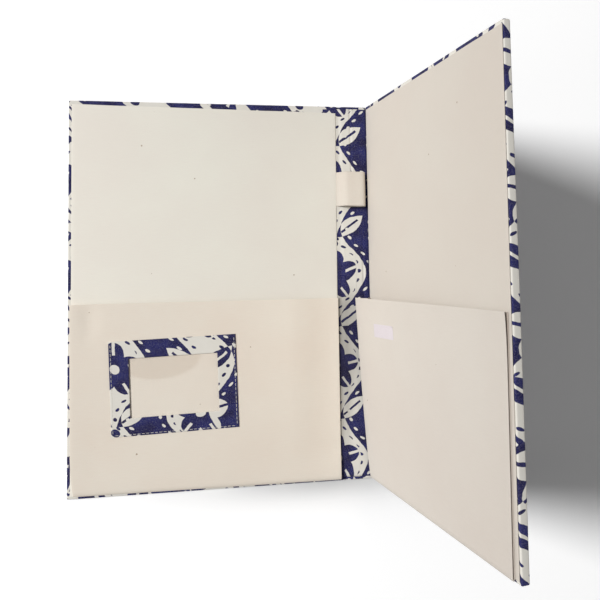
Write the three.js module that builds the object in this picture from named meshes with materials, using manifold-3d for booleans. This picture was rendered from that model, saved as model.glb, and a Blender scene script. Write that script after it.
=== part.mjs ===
// A file folder for A4 papers: two cloth-covered boards joined by a spine, a gusseted pocket on each cover,
// a card frame on the left pocket and a pen loop over the spine.
// Millimetres, +Z up. The left cover and the spine lie flat and the right cover is raised on its hinge.
// The origin is under the middle of the spine, X runs across the covers and Y along the spine.
import * as THREE from "three";
import { mergeVertices } from "three/addons/utils/BufferGeometryUtils.js";
import Module from "manifold-3d";

const wasm = await Module();
wasm.setup();

// Covers and spine
const coverHeight = 320;
const coverWidth = 221.3;
const spineBoardWidth = 20.8;
const hingeGap = 4.7; // cloth only, between a cover board and the spine board
const raisedAngle = THREE.MathUtils.degToRad(80.6); // right cover, up from flat

// Board, cloth and paste
const boardThickness = 3.2;
const clothThickness = 0.3;
const linerThickness = 0.6; // cloth on a paper backing
const panelThickness = 0.5; // pocket front, doubled cloth
const glueLine = 0.2;
const seamGap = 0.3; // where one piece of cloth ends beside the next
const turnIn = 15; // printed cloth folded over the inside of a board

// Spine lining and its flaps under the liners
const liningInset = 2.3; // below the spine's top and bottom edges
const flapReach = 12;

// Liner margins. Each liner is pasted down by hand, a little out of square.
const leftLiner = {
  hingeTop: 0.8,
  hingeFoot: 2.8,
  outerTop: 2.6,
  outerFoot: 2.6,
  topHinge: 5.9,
  topOuter: 3.3,
  foot: 2.4,
};
const rightLiner = {
  hingeTop: 2.4,
  hingeFoot: 3.8,
  outerTop: 0.7,
  outerFoot: 1.4,
  topHinge: 2.9,
  topOuter: 3,
  foot: 2.4,
};

// Pockets. A front is sewn down at its foot and stands away from the liner towards its mouth.
const pocketHeight = 152.5;
const pocketFootMargin = 1.2;
const footLift = 1.5;
const footFoldWidth = 1.2;
const gussetDepth = 9;
const leftPocket = {
  hingeInset: 1.4,
  outerInset: 2.7,
  outerFootInset: 3.2,
  mouthDrop: 0,
  hingeLift: 5.2,
  outerLift: 5.2,
  belly: 0.5,
};
const rightPocket = {
  hingeInset: 2.4,
  outerInset: 3,
  outerFootInset: 5,
  mouthDrop: 2.7,
  hingeLift: 12.7,
  outerLift: 1.5,
  belly: 0.72,
};

// Card frame on the left pocket
const cardFrame = { width: 100.5, height: 76, thickness: 0.5 };
const cardWindow = { width: 70, height: 47.3 };
const cardFrameFromEdge = 80.6; // pocket's outer edge to the frame's middle
const cardFrameBelowMouth = 66.8;
const cardFrameTilt = THREE.MathUtils.degToRad(-1.8);
const filmThickness = 0.15;
const filmOverlap = 2; // behind the frame, on each side of the window
const stitchInset = 1.3;
const stitchWidth = 0.5;
const stitchHeight = 0.25;

// Pen loop
const penLoopLength = 29.6;
const penLoopBelowTop = 73; // spine's top edge to the loop's middle
const penLoopReach = 24.6; // from the left liner's edge
const penLoopHeight = 7.5;
const penLoopWall = 0.5;
const penLoopRootHeight = 3.4; // where the tab meets the loop, above the tab
const penLoopTabDepth = 11; // pasted under the liner

// Sticker on the right pocket
const label = { width: 34, height: 10.5, thickness: 0.15 };
const labelFromEdge = 35.2; // from the pocket's edge at the spine
const labelBelowMouth = 20.2;

// Heights above the underside, in the order that the layers are pasted
const boardBase = clothThickness + glueLine;
const boardTop = boardBase + boardThickness;
const turnInBase = boardTop + glueLine;
const turnInTop = turnInBase + clothThickness;
const linerBase = turnInTop + glueLine;
const linerTop = linerBase + linerThickness;
const liningTop = linerBase + clothThickness;
const hingeHeight = boardBase + boardThickness / 2;

// Distances from a hinge axis, out across its cover
const hingeX = spineBoardWidth / 2 + hingeGap / 2;
const boardStart = hingeGap / 2;
const coverEnd = boardStart + coverWidth;
const flapEnd = boardStart + flapReach;

const halfHeight = coverHeight / 2;
const penLoopMiddle = halfHeight - penLoopBelowTop;
const pocketFootY = -halfHeight + pocketFootMargin;
const pocketMouthY = pocketFootY + pocketHeight;

const lerp = THREE.MathUtils.lerp;

const finishes = {
  printedCloth: { color: 0x8a8ca6, roughness: 0.9 },
  creamCloth: { color: 0xe2dacb, roughness: 0.92 },
  greyboard: { color: 0x8d8a84, roughness: 0.95 },
  clearFilm: { color: 0xf2f4f4, roughness: 0.15, transparent: true, opacity: 0.3 },
  thread: { color: 0xe9e7e2, roughness: 0.85 },
  labelPaper: { color: 0xf1eef0, roughness: 0.7 },
};

function piece(name, geometry, finish) {
  const material = new THREE.MeshStandardMaterial({ metalness: 0, ...finishes[finish] });
  const mesh = new THREE.Mesh(geometry, material);
  mesh.name = name;
  return mesh;
}

// A box between two corners
function block(low, high) {
  const size = high.map((value, i) => value - low[i]);
  const middle = high.map((value, i) => (value + low[i]) / 2);
  return new THREE.BoxGeometry(...size).translate(...middle);
}

function solidOf(geometry) {
  const bare = geometry.clone();
  bare.deleteAttribute("normal");
  bare.deleteAttribute("uv");
  const merged = mergeVertices(bare);
  const mesh = new wasm.Mesh({
    numProp: 3,
    vertProperties: merged.attributes.position.array,
    triVerts: new Uint32Array(merged.index.array),
  });
  return new wasm.Manifold(mesh);
}

// One geometry with others cut out of it
function cut(geometry, ...tools) {
  let solid = solidOf(geometry);
  for (const tool of tools) {
    solid = solid.subtract(solidOf(tool));
  }
  const mesh = solid.getMesh();
  const result = new THREE.BufferGeometry();
  result.setAttribute("position", new THREE.BufferAttribute(mesh.vertProperties, 3));
  result.setIndex(new THREE.BufferAttribute(mesh.triVerts, 1));
  result.computeVertexNormals();
  return result;
}

// An outline in X and Z, carried along Y and centred on y
function alongY(shape, length, y = 0) {
  const geometry = new THREE.ExtrudeGeometry(shape, { depth: length, bevelEnabled: false });
  return geometry.rotateX(Math.PI / 2).translate(0, y + length / 2, 0);
}

// Triangles that close a ring whose second half runs back beside its first half
function capFaces(count) {
  const faces = [];
  for (let i = 0; i < count / 2 - 1; i++) {
    const back = count - 1 - i;
    faces.push([i, i + 1, back - 1], [i, back - 1, back]);
  }
  return faces;
}

function signedVolume(points, index) {
  let sum = 0;
  for (let i = 0; i < index.length; i += 3) {
    const [a, b, c] = [points[index[i]], points[index[i + 1]], points[index[i + 2]]];
    sum += a.dot(new THREE.Vector3().crossVectors(b, c));
  }
  return sum;
}

// A closed solid through rings of equal length. Joined rings run back to the first one, others are capped.
function loft(rings, joined = false) {
  const count = rings[0].length;
  const spans = joined ? rings.length : rings.length - 1;
  const points = rings.flat();
  const index = [];
  for (let i = 0; i < spans; i++) {
    const here = i * count;
    const next = ((i + 1) % rings.length) * count;
    for (let j = 0; j < count; j++) {
      const k = (j + 1) % count;
      index.push(here + j, next + j, next + k, here + j, next + k, here + k);
    }
  }
  if (!joined) {
    const last = (rings.length - 1) * count;
    for (const face of capFaces(count)) {
      index.push(...face, ...face.map((i) => last + i).reverse());
    }
  }
  if (signedVolume(points, index) < 0) {
    index.reverse();
  }
  const geometry = new THREE.BufferGeometry().setFromPoints(points);
  geometry.setIndex(index);
  geometry.computeVertexNormals();
  return geometry;
}

// A sheet of even thickness over pointAt(s, t), its lower face, with s and t from 0 to 1
function sheet(pointAt, thickness, columns, rows) {
  const rings = [];
  for (let j = 0; j <= rows; j++) {
    const lower = [];
    for (let i = 0; i <= columns; i++) {
      lower.push(pointAt(i / columns, j / rows));
    }
    const upper = lower.map((p) => new THREE.Vector3(p.x, p.y, p.z + thickness)).reverse();
    rings.push([...lower, ...upper]);
  }
  return loft(rings);
}

// Printed cloth wrapped round a board, with turned-in edges on the sides that it wraps
function wrappedCloth(start, end, wrapsStart, wrapsEnd) {
  const openStart = wrapsStart ? clothThickness : -seamGap;
  const openEnd = wrapsEnd ? clothThickness : -seamGap;
  const foldStart = wrapsStart ? turnIn : -seamGap;
  const foldEnd = wrapsEnd ? turnIn : -seamGap;
  const outside = block([start, -halfHeight, 0], [end, halfHeight, turnInTop]);
  const boardSpace = block(
    [start + openStart, -halfHeight + clothThickness, clothThickness],
    [end - openEnd, halfHeight - clothThickness, turnInBase],
  );
  const bareInside = block(
    [start + foldStart, -halfHeight + turnIn, turnInBase - seamGap],
    [end - foldEnd, halfHeight - turnIn, turnInTop + seamGap],
  );
  return cut(outside, boardSpace, bareInside);
}

// A liner's outline from its margins, in distances from the hinge axis
function linerGeometry(margins) {
  const footY = -halfHeight + margins.foot;
  const outline = new THREE.Shape([
    new THREE.Vector2(boardStart + margins.hingeFoot, footY),
    new THREE.Vector2(coverEnd - margins.outerFoot, footY),
    new THREE.Vector2(coverEnd - margins.outerTop, halfHeight - margins.topOuter),
    new THREE.Vector2(boardStart + margins.hingeTop, halfHeight - margins.topHinge),
  ]);
  const geometry = new THREE.ExtrudeGeometry(outline, { depth: linerThickness, bevelEnabled: false });
  return geometry.translate(0, 0, linerBase);
}

// Share of a pocket's height at y, from 0 at the foot to 1 at the mouth
function pocketShare(y) {
  return THREE.MathUtils.clamp((y - pocketFootY) / pocketHeight, 0, 1);
}

function pocketHingeEdge(pocket) {
  return boardStart + pocket.hingeInset;
}

function pocketOuterEdge(pocket, y) {
  return coverEnd - lerp(pocket.outerFootInset, pocket.outerInset, pocketShare(y));
}

// How far a pocket's front stands off the liner at a point: least at the foot, most at the mouth
function pocketLift(pocket, u, y) {
  const start = pocketHingeEdge(pocket);
  const across = (u - start) / (pocketOuterEdge(pocket, y) - start);
  const mouthLift = lerp(pocket.hingeLift, pocket.outerLift, across);
  return footLift + (mouthLift - footLift) * pocketShare(y) ** pocket.belly;
}

// Rows crowd towards the foot, where the front curves most
function rowShare(t) {
  return t ** 2;
}

function pocketMouth(pocket, across) {
  return pocketMouthY - pocket.mouthDrop * across;
}

function pocketFront(pocket) {
  const pointAt = (s, t) => {
    const y = lerp(pocketFootY, pocketMouth(pocket, s), rowShare(t));
    const u = lerp(pocketHingeEdge(pocket), pocketOuterEdge(pocket, y), s);
    return new THREE.Vector3(u, y, linerTop + pocketLift(pocket, u, y));
  };
  return sheet(pointAt, panelThickness, 12, 12);
}

// A gusset: a strip folded once into the pocket, open to the outside, between the liner and the front
function gusset(pocket, isOuter) {
  const rows = 12;
  const firstY = pocketFootY + footFoldWidth + seamGap;
  const rings = [];
  for (let j = 0; j <= rows; j++) {
    const y = lerp(firstY, pocketMouth(pocket, isOuter ? 1 : 0), rowShare(j / rows));
    const edge = isOuter ? pocketOuterEdge(pocket, y) : pocketHingeEdge(pocket);
    const inward = isOuter ? -1 : 1;
    const low = linerTop + glueLine;
    const high = linerTop + pocketLift(pocket, edge, y) - glueLine;
    const middle = (low + high) / 2;
    const creaseShift = (gussetDepth * clothThickness) / (middle - low);
    const crease = edge + inward * gussetDepth;
    const innerCrease = crease - inward * creaseShift;
    rings.push([
      new THREE.Vector3(edge, y, low),
      new THREE.Vector3(crease, y, middle),
      new THREE.Vector3(edge, y, high),
      new THREE.Vector3(edge, y, high - clothThickness),
      new THREE.Vector3(innerCrease, y, middle),
      new THREE.Vector3(edge, y, low + clothThickness),
    ]);
  }
  return loft(rings);
}

// The front's lower edge, folded under and sewn down
function footFold(pocket) {
  const low = [pocketHingeEdge(pocket), pocketFootY, linerTop + glueLine];
  const high = [
    pocketOuterEdge(pocket, pocketFootY),
    pocketFootY + footFoldWidth,
    linerTop + footLift - glueLine,
  ];
  return block(low, high);
}

function pocketPieces(side, pocket) {
  return [
    piece(`${side}_pocket_front`, pocketFront(pocket), "creamCloth"),
    piece(`${side}_pocket_outer_gusset`, gusset(pocket, true), "creamCloth"),
    piece(`${side}_pocket_spine_gusset`, gusset(pocket, false), "creamCloth"),
    piece(`${side}_pocket_foot_fold`, footFold(pocket), "creamCloth"),
  ];
}

// A point on the left pocket's face, from the card frame's own axes, raised by a height
function onCardPlace(x, y, height) {
  const middle = new THREE.Vector2(
    pocketOuterEdge(leftPocket, pocketMouthY) - cardFrameFromEdge,
    pocketMouthY - cardFrameBelowMouth,
  );
  const place = new THREE.Vector2(x, y).rotateAround(new THREE.Vector2(), cardFrameTilt).add(middle);
  const face = linerTop + pocketLift(leftPocket, place.x, place.y) + panelThickness;
  return new THREE.Vector3(place.x, place.y, face + height);
}

// Points along a rectangle's sides, from its top left corner down, across and up again
function rectanglePath(width, height, steps, sides) {
  const corners = [
    [-width / 2, height / 2],
    [-width / 2, -height / 2],
    [width / 2, -height / 2],
    [width / 2, height / 2],
  ];
  const path = [];
  for (let side = 0; side < sides; side++) {
    const [from, to] = [corners[side], corners[(side + 1) % 4]];
    for (let i = 0; i < steps; i++) {
      path.push([lerp(from[0], to[0], i / steps), lerp(from[1], to[1], i / steps)]);
    }
  }
  return sides === 4 ? path : [...path, corners[sides]];
}

// A flat band between two rectangles on the left pocket, from base to top above its face
function cardBand(outer, inner, base, top, steps, sides) {
  const outerPath = rectanglePath(...outer, steps, sides);
  const innerPath = rectanglePath(...inner, steps, sides);
  const rings = outerPath.map((p, i) => {
    const q = innerPath[i];
    return [
      onCardPlace(...p, base),
      onCardPlace(...q, base),
      onCardPlace(...q, top),
      onCardPlace(...p, top),
    ];
  });
  return rings;
}

function cardPieces() {
  const filmBase = glueLine;
  const frameBase = filmBase + filmThickness + glueLine;
  const frameTop = frameBase + cardFrame.thickness;
  const outer = [cardFrame.width, cardFrame.height];
  const inner = [cardWindow.width, cardWindow.height];
  const frame = loft(cardBand(outer, inner, frameBase, frameTop, 5, 4), true);
  const filmWidth = cardWindow.width + 2 * filmOverlap;
  const filmHeight = cardWindow.height + 2 * filmOverlap;
  const filmAt = (s, t) => onCardPlace((s - 0.5) * filmWidth, (t - 0.5) * filmHeight, filmBase);
  const stitchOuter = outer.map((size) => size - 2 * stitchInset);
  const stitchInner = stitchOuter.map((size) => size - 2 * stitchWidth);
  const stitchBase = frameTop + glueLine;
  const stitchTop = stitchBase + stitchHeight;
  const stitching = loft(cardBand(stitchOuter, stitchInner, stitchBase, stitchTop, 5, 3));
  return [
    piece("card_frame", frame, "printedCloth"),
    piece("card_window_film", sheet(filmAt, filmThickness, 4, 4), "clearFilm"),
    piece("card_frame_stitching", stitching, "thread"),
  ];
}

// A sheet pasted to the inside of a cover beside its hinge, under the liner's edge
function liningFlap(start) {
  const reachY = halfHeight - turnIn - seamGap;
  return block([start, -reachY, turnInBase], [flapEnd, reachY, turnInTop]);
}

function coverPieces(side) {
  const clothEdge = clothThickness + glueLine;
  const board = block(
    [boardStart, -halfHeight + clothEdge, boardBase],
    [coverEnd - clothEdge, halfHeight - clothEdge, boardTop],
  );
  return [
    piece(`${side}_board`, board, "greyboard"),
    piece(`${side}_cover_cloth`, wrappedCloth(boardStart, coverEnd, false, true), "printedCloth"),
  ];
}

// The loop's tab lies under the left liner and rises over the hinge gap to the loop
const leftLinerEdge = hingeX + boardStart + lerp(leftLiner.hingeTop, leftLiner.hingeFoot, 0.25);
const penLoopStart = -hingeX + (linerTop - hingeHeight) + glueLine; // clears the left liner when shut
const penLoopEnd = -leftLinerEdge + penLoopReach;
const tabEnd = leftLinerEdge - hingeX + penLoopTabDepth;

function penLoopTab() {
  const linerEdge = leftLinerEdge - hingeX;
  const middle = [
    [tabEnd, linerBase],
    [linerEdge, linerBase],
    [-hingeX - penLoopStart + seamGap, linerBase + penLoopRootHeight],
  ];
  const outline = [...middle, ...middle.map(([u, z]) => [u, z + clothThickness]).reverse()];
  const shape = new THREE.Shape(outline.map(([u, z]) => new THREE.Vector2(u, z)));
  return alongY(shape, penLoopLength, penLoopMiddle);
}

function leftLinerGeometry() {
  const reachY = penLoopLength / 2 + seamGap;
  const tabSpace = block(
    [boardStart, penLoopMiddle - reachY, linerBase - seamGap],
    [tabEnd + seamGap, penLoopMiddle + reachY, linerBase + clothThickness + glueLine / 2],
  );
  return cut(linerGeometry(leftLiner), tabSpace);
}

// A flattened tube that lies on the spine lining
function penLoop() {
  const outline = (inset) => {
    const radius = penLoopHeight / 2 - inset;
    const middleZ = liningTop + seamGap + penLoopHeight / 2;
    const path = inset ? new THREE.Path() : new THREE.Shape();
    const left = penLoopStart + penLoopHeight / 2;
    const right = penLoopEnd - penLoopHeight / 2;
    path.absarc(left, middleZ, radius, Math.PI / 2, (3 * Math.PI) / 2, false);
    path.absarc(right, middleZ, radius, -Math.PI / 2, Math.PI / 2, false);
    return path;
  };
  const shape = outline(0);
  shape.holes.push(outline(penLoopWall));
  return alongY(shape, penLoopLength, penLoopMiddle);
}

// The cloth under the raised hinge: flat from the spine, round the axis, then up to the cover
function raisedHingeCloth() {
  const down = -Math.PI / 2;
  const outer = hingeHeight;
  const inner = hingeHeight - clothThickness;
  const endAt = (radius) => {
    const end = new THREE.Vector2(boardStart - seamGap, -radius);
    return end.rotateAround(new THREE.Vector2(), raisedAngle).add(new THREE.Vector2(hingeX, hingeHeight));
  };
  const shape = new THREE.Shape();
  shape.moveTo(spineBoardWidth / 2, 0);
  shape.absarc(hingeX, hingeHeight, outer, down, down + raisedAngle, false);
  shape.lineTo(...endAt(outer));
  shape.lineTo(...endAt(inner));
  shape.absarc(hingeX, hingeHeight, inner, down + raisedAngle, down, true);
  shape.lineTo(spineBoardWidth / 2, clothThickness);
  return alongY(shape, coverHeight);
}

function flatHingeCloth() {
  return block([-boardStart, -halfHeight, 0], [boardStart, halfHeight, clothThickness]);
}

function blankLabel() {
  const middle = [
    pocketHingeEdge(rightPocket) + labelFromEdge + label.width / 2,
    pocketMouthY - labelBelowMouth - label.height / 2,
  ];
  const pointAt = (s, t) => {
    const u = middle[0] + (s - 0.5) * label.width;
    const y = middle[1] + (t - 0.5) * label.height;
    const face = linerTop + pocketLift(rightPocket, u, y) + panelThickness;
    return new THREE.Vector3(u, y, face + glueLine);
  };
  return sheet(pointAt, label.thickness, 3, 2);
}

function leftCover() {
  const group = new THREE.Group();
  group.add(
    ...coverPieces("left"),
    piece("left_hinge_cloth", flatHingeCloth(), "printedCloth"),
    piece("left_hinge_lining", liningFlap(seamGap - boardStart), "printedCloth"),
    piece("left_liner", leftLinerGeometry(), "creamCloth"),
    piece("pen_loop_tab", penLoopTab(), "creamCloth"),
    ...pocketPieces("left", leftPocket),
    ...cardPieces(),
  );
  group.position.x = -hingeX;
  group.scale.x = -1; // distances from the hinge run to the left
  return group;
}

function rightCover() {
  const pieces = new THREE.Group();
  pieces.add(
    ...coverPieces("right"),
    piece("right_hinge_lining", liningFlap(seamGap), "printedCloth"),
    piece("right_liner", linerGeometry(rightLiner), "creamCloth"),
    ...pocketPieces("right", rightPocket),
    piece("blank_label", blankLabel(), "labelPaper"),
  );
  pieces.position.z = -hingeHeight;
  const hinge = new THREE.Group();
  hinge.add(pieces);
  hinge.position.set(hingeX, 0, hingeHeight);
  hinge.rotation.y = -raisedAngle;
  return hinge;
}

function spine() {
  const group = new THREE.Group();
  const half = spineBoardWidth / 2;
  const clothEdge = clothThickness + glueLine;
  const liningReach = halfHeight - liningInset;
  const board = block(
    [-half, -halfHeight + clothEdge, boardBase],
    [half, halfHeight - clothEdge, boardTop],
  );
  const lining = block([-half, -liningReach, linerBase], [half, liningReach, liningTop]);
  group.add(
    piece("spine_board", board, "greyboard"),
    piece("spine_cloth", wrappedCloth(-half, half, false, false), "printedCloth"),
    piece("spine_lining", lining, "printedCloth"),
    piece("right_hinge_cloth", raisedHingeCloth(), "printedCloth"),
    piece("pen_loop", penLoop(), "creamCloth"),
  );
  return group;
}

const folder = new THREE.Group();
folder.name = "file_folder";
folder.add(leftCover(), spine(), rightCover());

export default folder;
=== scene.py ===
import bpy
import numpy as np
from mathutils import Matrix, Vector


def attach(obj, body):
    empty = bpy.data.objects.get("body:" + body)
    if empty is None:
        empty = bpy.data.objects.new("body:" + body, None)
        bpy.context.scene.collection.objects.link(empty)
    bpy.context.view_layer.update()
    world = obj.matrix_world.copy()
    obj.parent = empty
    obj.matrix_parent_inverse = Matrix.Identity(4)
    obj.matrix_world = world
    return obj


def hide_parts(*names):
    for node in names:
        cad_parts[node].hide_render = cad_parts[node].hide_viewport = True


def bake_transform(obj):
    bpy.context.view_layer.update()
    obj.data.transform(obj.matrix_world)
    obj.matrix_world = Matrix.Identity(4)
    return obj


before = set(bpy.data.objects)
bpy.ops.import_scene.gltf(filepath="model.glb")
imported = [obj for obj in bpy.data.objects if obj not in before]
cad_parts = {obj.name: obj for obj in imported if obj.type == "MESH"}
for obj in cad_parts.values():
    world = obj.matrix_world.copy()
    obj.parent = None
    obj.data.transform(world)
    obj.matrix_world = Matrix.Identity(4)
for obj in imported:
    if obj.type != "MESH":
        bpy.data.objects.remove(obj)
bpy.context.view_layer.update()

# Everything below is worked out in millimetres and goes into the meshes in metres.
mm = 0.001
uvScale = 0.01  # from millimetres along the cloth to its UV map
folder = {
    "height": 320.0,  # along the spine
    "hingeX": 12.75,  # hinge axes, each side of the spine's middle
    "hingeZ": 2.1,
    "raised": np.radians(80.6),  # right cover
    "boardStart": 2.35,  # from a hinge axis
    "coverEnd": 223.65,
    "turnInTop": 4.2,
    "linerBase": 4.4,
    "linerTop": 5.0,
    "blendReach": {"left": 1.75, "right": 1.2},  # the hinge cloth blends this far to each side of its axis
}
halfHeight = folder["height"] / 2


def hexLinear(code):  # sRGB hex to linear
    value = np.array([int(code[i:i + 2], 16) for i in (1, 3, 5)]) / 255
    linear = np.where(value <= 0.04045, value / 12.92, ((value + 0.055) / 1.055) ** 2.4)
    return (*linear.tolist(), 1.0)


def smooth(t):  # eases from 0 to 1
    t = np.clip(t, 0, 1)
    return t * t * (3 - 2 * t)


def between(ends, t):  # from the first of the two ends to the second
    return ends[0] + (ends[1] - ends[0]) * t


def bump(distance, flat, reach):  # 1 within flat, eased to 0 at reach
    return 1 - smooth((np.abs(distance) - flat) / (reach - flat))


def ripple(a, b, phase, length):  # a soft unevenness, about -1 to 1, with waves of about this length
    k = 2 * np.pi / length
    return (np.sin(k * a + phase) * np.cos(0.8 * k * b + 2 * phase)
            + np.sin(0.6 * k * b - 0.7 * k * a + 3 * phase)
            + 0.5 * np.sin(1.9 * k * a + 1.3 * k * b + 5 * phase)) / 2.5


def turned(x, z, angle):  # about the right hinge's axis
    dx, dz = x - folder["hingeX"], z - folder["hingeZ"]
    return (folder["hingeX"] + dx * np.cos(angle) - dz * np.sin(angle),
            folder["hingeZ"] + dx * np.sin(angle) + dz * np.cos(angle))


def onCover(side, u, y, z):  # u runs out from the hinge axis, z up from the cover's outside
    if side == "left":
        return np.stack([-folder["hingeX"] - u, y, z], -1)
    x, height = turned(folder["hingeX"] + u, z, folder["raised"])
    return np.stack([x, y, height], -1)


def quadsOf(grid):  # corners of each cell of a grid of point numbers
    return np.stack([grid[:-1, :-1], grid[1:, :-1], grid[1:, 1:], grid[:-1, 1:]], -1).reshape(-1, 4)


def buildMesh(name, points, faces, cornerUv, material):
    points = points.reshape(-1, 3) * mm
    used, renumbered = np.unique(faces, return_inverse=True)
    points, faces = points[used], renumbered.reshape(faces.shape)
    spokes = points[faces] - points.mean(0)
    outward = np.einsum("ij,ij->i", np.cross(spokes[:, 2] - spokes[:, 0], spokes[:, 3] - spokes[:, 1]),
                        spokes.mean(1)).sum()
    if outward < 0:  # faces point away from the piece's middle
        faces, cornerUv = faces[:, ::-1], cornerUv[:, ::-1]
    mesh = bpy.data.meshes.new(name)
    mesh.from_pydata(points.tolist(), [], faces.tolist())
    layer = mesh.uv_layers.new(name="clothPlane")
    layer.data.foreach_set("uv", (cornerUv * uvScale).astype(np.float32).ravel())
    mesh.materials.append(material)
    mesh.shade_smooth()
    mesh.validate()
    piece = bpy.data.objects.new(name, mesh)
    bpy.context.scene.collection.objects.link(piece)
    return piece


def buildGrid(name, points, uv, material, joinRows=False, joinColumns=False):
    # one surface over a grid; a joined side uses the points of the side that it meets
    numbers = np.arange(points.shape[0] * points.shape[1]).reshape(points.shape[:2])
    own = numbers.copy()
    if joinRows:
        own[-1] = own[0]
    if joinColumns:
        own[:, -1] = own[:, 0]
    return buildMesh(name, points, quadsOf(own), uv.reshape(-1, 2)[quadsOf(numbers)], material)


def stations(low, high, count, radius, rimSteps=5):  # even, and crowded over the rounded rim at each end
    rim = radius * (1 - np.cos(np.linspace(0, np.pi / 2, rimSteps)))
    return np.concatenate([low + rim, np.linspace(low + radius, high - radius, count)[1:-1], (high - rim)[::-1]])


def buildSheet(name, a, b, thickness, place, material, counts=(60, 60), uvAt=(0, 0)):
    # cloth with rounded edges: an upper and a lower grid, sharing their rim
    # height = r -/+ sqrt(r^2 - (r - distance to the edge)^2), with r half the thickness
    radius = thickness / 2
    along = stations(*a, counts[0], radius)
    across = stations(*b, counts[1], radius)
    u, v = np.meshgrid(along, across, indexing="ij")
    inside = np.minimum(np.minimum(u - a[0], a[1] - u), np.minimum(v - b[0], b[1] - v)).clip(0, radius)
    rise = np.sqrt((radius ** 2 - (radius - inside) ** 2).clip(0))
    points = np.stack([place(u, v, radius + rise), place(u, v, radius - rise)])
    upper = np.arange(u.size).reshape(u.shape)
    lower = upper + u.size
    lower[[0, -1]], lower[:, [0, -1]] = upper[[0, -1]], upper[:, [0, -1]]
    faces = np.concatenate([quadsOf(upper), quadsOf(lower)[:, ::-1]])
    flat = np.stack([u + uvAt[0], v + uvAt[1]], -1).reshape(-1, 2)
    corner = np.concatenate([quadsOf(upper), quadsOf(upper)[:, ::-1]])
    return buildMesh(name, points, faces, flat[corner], material)


def finishModifiers(piece):
    depsgraph = bpy.context.evaluated_depsgraph_get()
    shaped = bpy.data.meshes.new_from_object(piece.evaluated_get(depsgraph))
    piece.modifiers.clear()
    piece.data = shaped


def thicken(piece, thickness, offset):  # offset -1 inwards, 0 both ways
    wall = piece.modifiers.new("cloth thickness", "SOLIDIFY")
    wall.thickness, wall.offset, wall.use_even_offset = thickness * mm, offset, True
    finishModifiers(piece)


def shadeWith(piece, amounts):  # how far the cloth's colour goes to its shaded one, at each point of its grid
    paintedShade = piece.data.attributes.new("paintedShade", "FLOAT", "POINT")
    paintedShade.data.foreach_set("value", amounts.ravel())


def mergeClose(piece, distance):
    weld = piece.modifiers.new("weld", "WELD")
    weld.merge_threshold = distance * mm
    finishModifiers(piece)


def addNode(tree, kind, settings=None, links=None):
    # one node with its settings, or only its operation, and its inputs set to values or colours' codes
    # or joined to other nodes; gives its outputs
    node = tree.nodes.new("ShaderNode" + kind)
    settings = {"operation": settings} if isinstance(settings, str) else settings or {}
    for key, value in settings.items():
        setattr(node, key, value)
    for key, value in (links or {}).items():
        if isinstance(value, bpy.types.NodeSocket):
            tree.links.new(value, node.inputs[key])
        else:
            node.inputs[key].default_value = hexLinear(value) if isinstance(value, str) else value
    return node.outputs


def startMaterial(name, **surface):
    material = bpy.data.materials.new(name)
    material.use_nodes = True
    shader = material.node_tree.nodes["Principled BSDF"]
    for key, value in surface.items():
        shader.inputs[key].default_value = value
    return material, material.node_tree, shader


rgba = {"data_type": "RGBA"}
bandRepeat = 0.31416  # a Wave texture's bands repeat every bandRepeat / scale


def clothPlane(tree):  # millimetres along and across the cloth
    flat = addNode(tree, "UVMap", {"uv_map": "clothPlane"})[0]
    return addNode(tree, "VectorMath", "SCALE", {0: flat, "Scale": 1 / uvScale})[0]


def weaveHeight(tree, plane, spacing):
    # plain weave: warp and weft ridges, each hidden where the other passes over it
    wave = {"wave_type": "BANDS", "wave_profile": "SIN"}
    links = {"Vector": plane, "Scale": bandRepeat / spacing, "Distortion": 0.6, "Detail": 1.0, "Detail Scale": 2.0}
    warp = addNode(tree, "TexWave", {**wave, "bands_direction": "X"}, links)[0]
    weft = addNode(tree, "TexWave", {**wave, "bands_direction": "Y"}, links)[0]
    overs = addNode(tree, "TexChecker", None, {"Vector": plane, "Scale": 1 / spacing})[1]
    return addNode(tree, "Mix", {"data_type": "FLOAT"}, {"Factor": overs, "A": warp, "B": weft})[0]


def dressSurface(tree, shader, colour, height, relief):  # relief is its depth in mm and its strength
    normal = addNode(tree, "Bump", None, {"Height": height, "Distance": relief[0] * mm, "Strength": relief[1]})[0]
    tree.links.new(colour, shader.inputs["Base Color"])
    tree.links.new(normal, shader.inputs["Normal"])


creamCloth = {  # sizes in mm
    "spacing": 0.55,  # between threads, a little coarser than the real ones so that they show
    "cloud": 83.333,  # width of the unevenness in its dye
    "slub": (8.3333, 0.625),  # length and width of the thick places in a thread
    "slubShare": 0.3,
    "gaps": ("#b9ad98", 0.09),  # colour between the threads, and how much of it
    "fleckCell": 42.0,  # between brown flecks
    "fleckSize": 0.75,
    "fleckRagged": (0.71429, 0.5),  # how finely its outline wanders, and how far
    "fleckFrom": 0.62,  # a fleck in about a third of the cells
    "fleck": ("#8a6c4c", 0.7),
    # painted shade: the colour that the cloth darkens to in an open pocket's fold
    "fold": "#6b4c28",  # in an open pocket's fold
    "relief": (0.08, 0.5),
}


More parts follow.
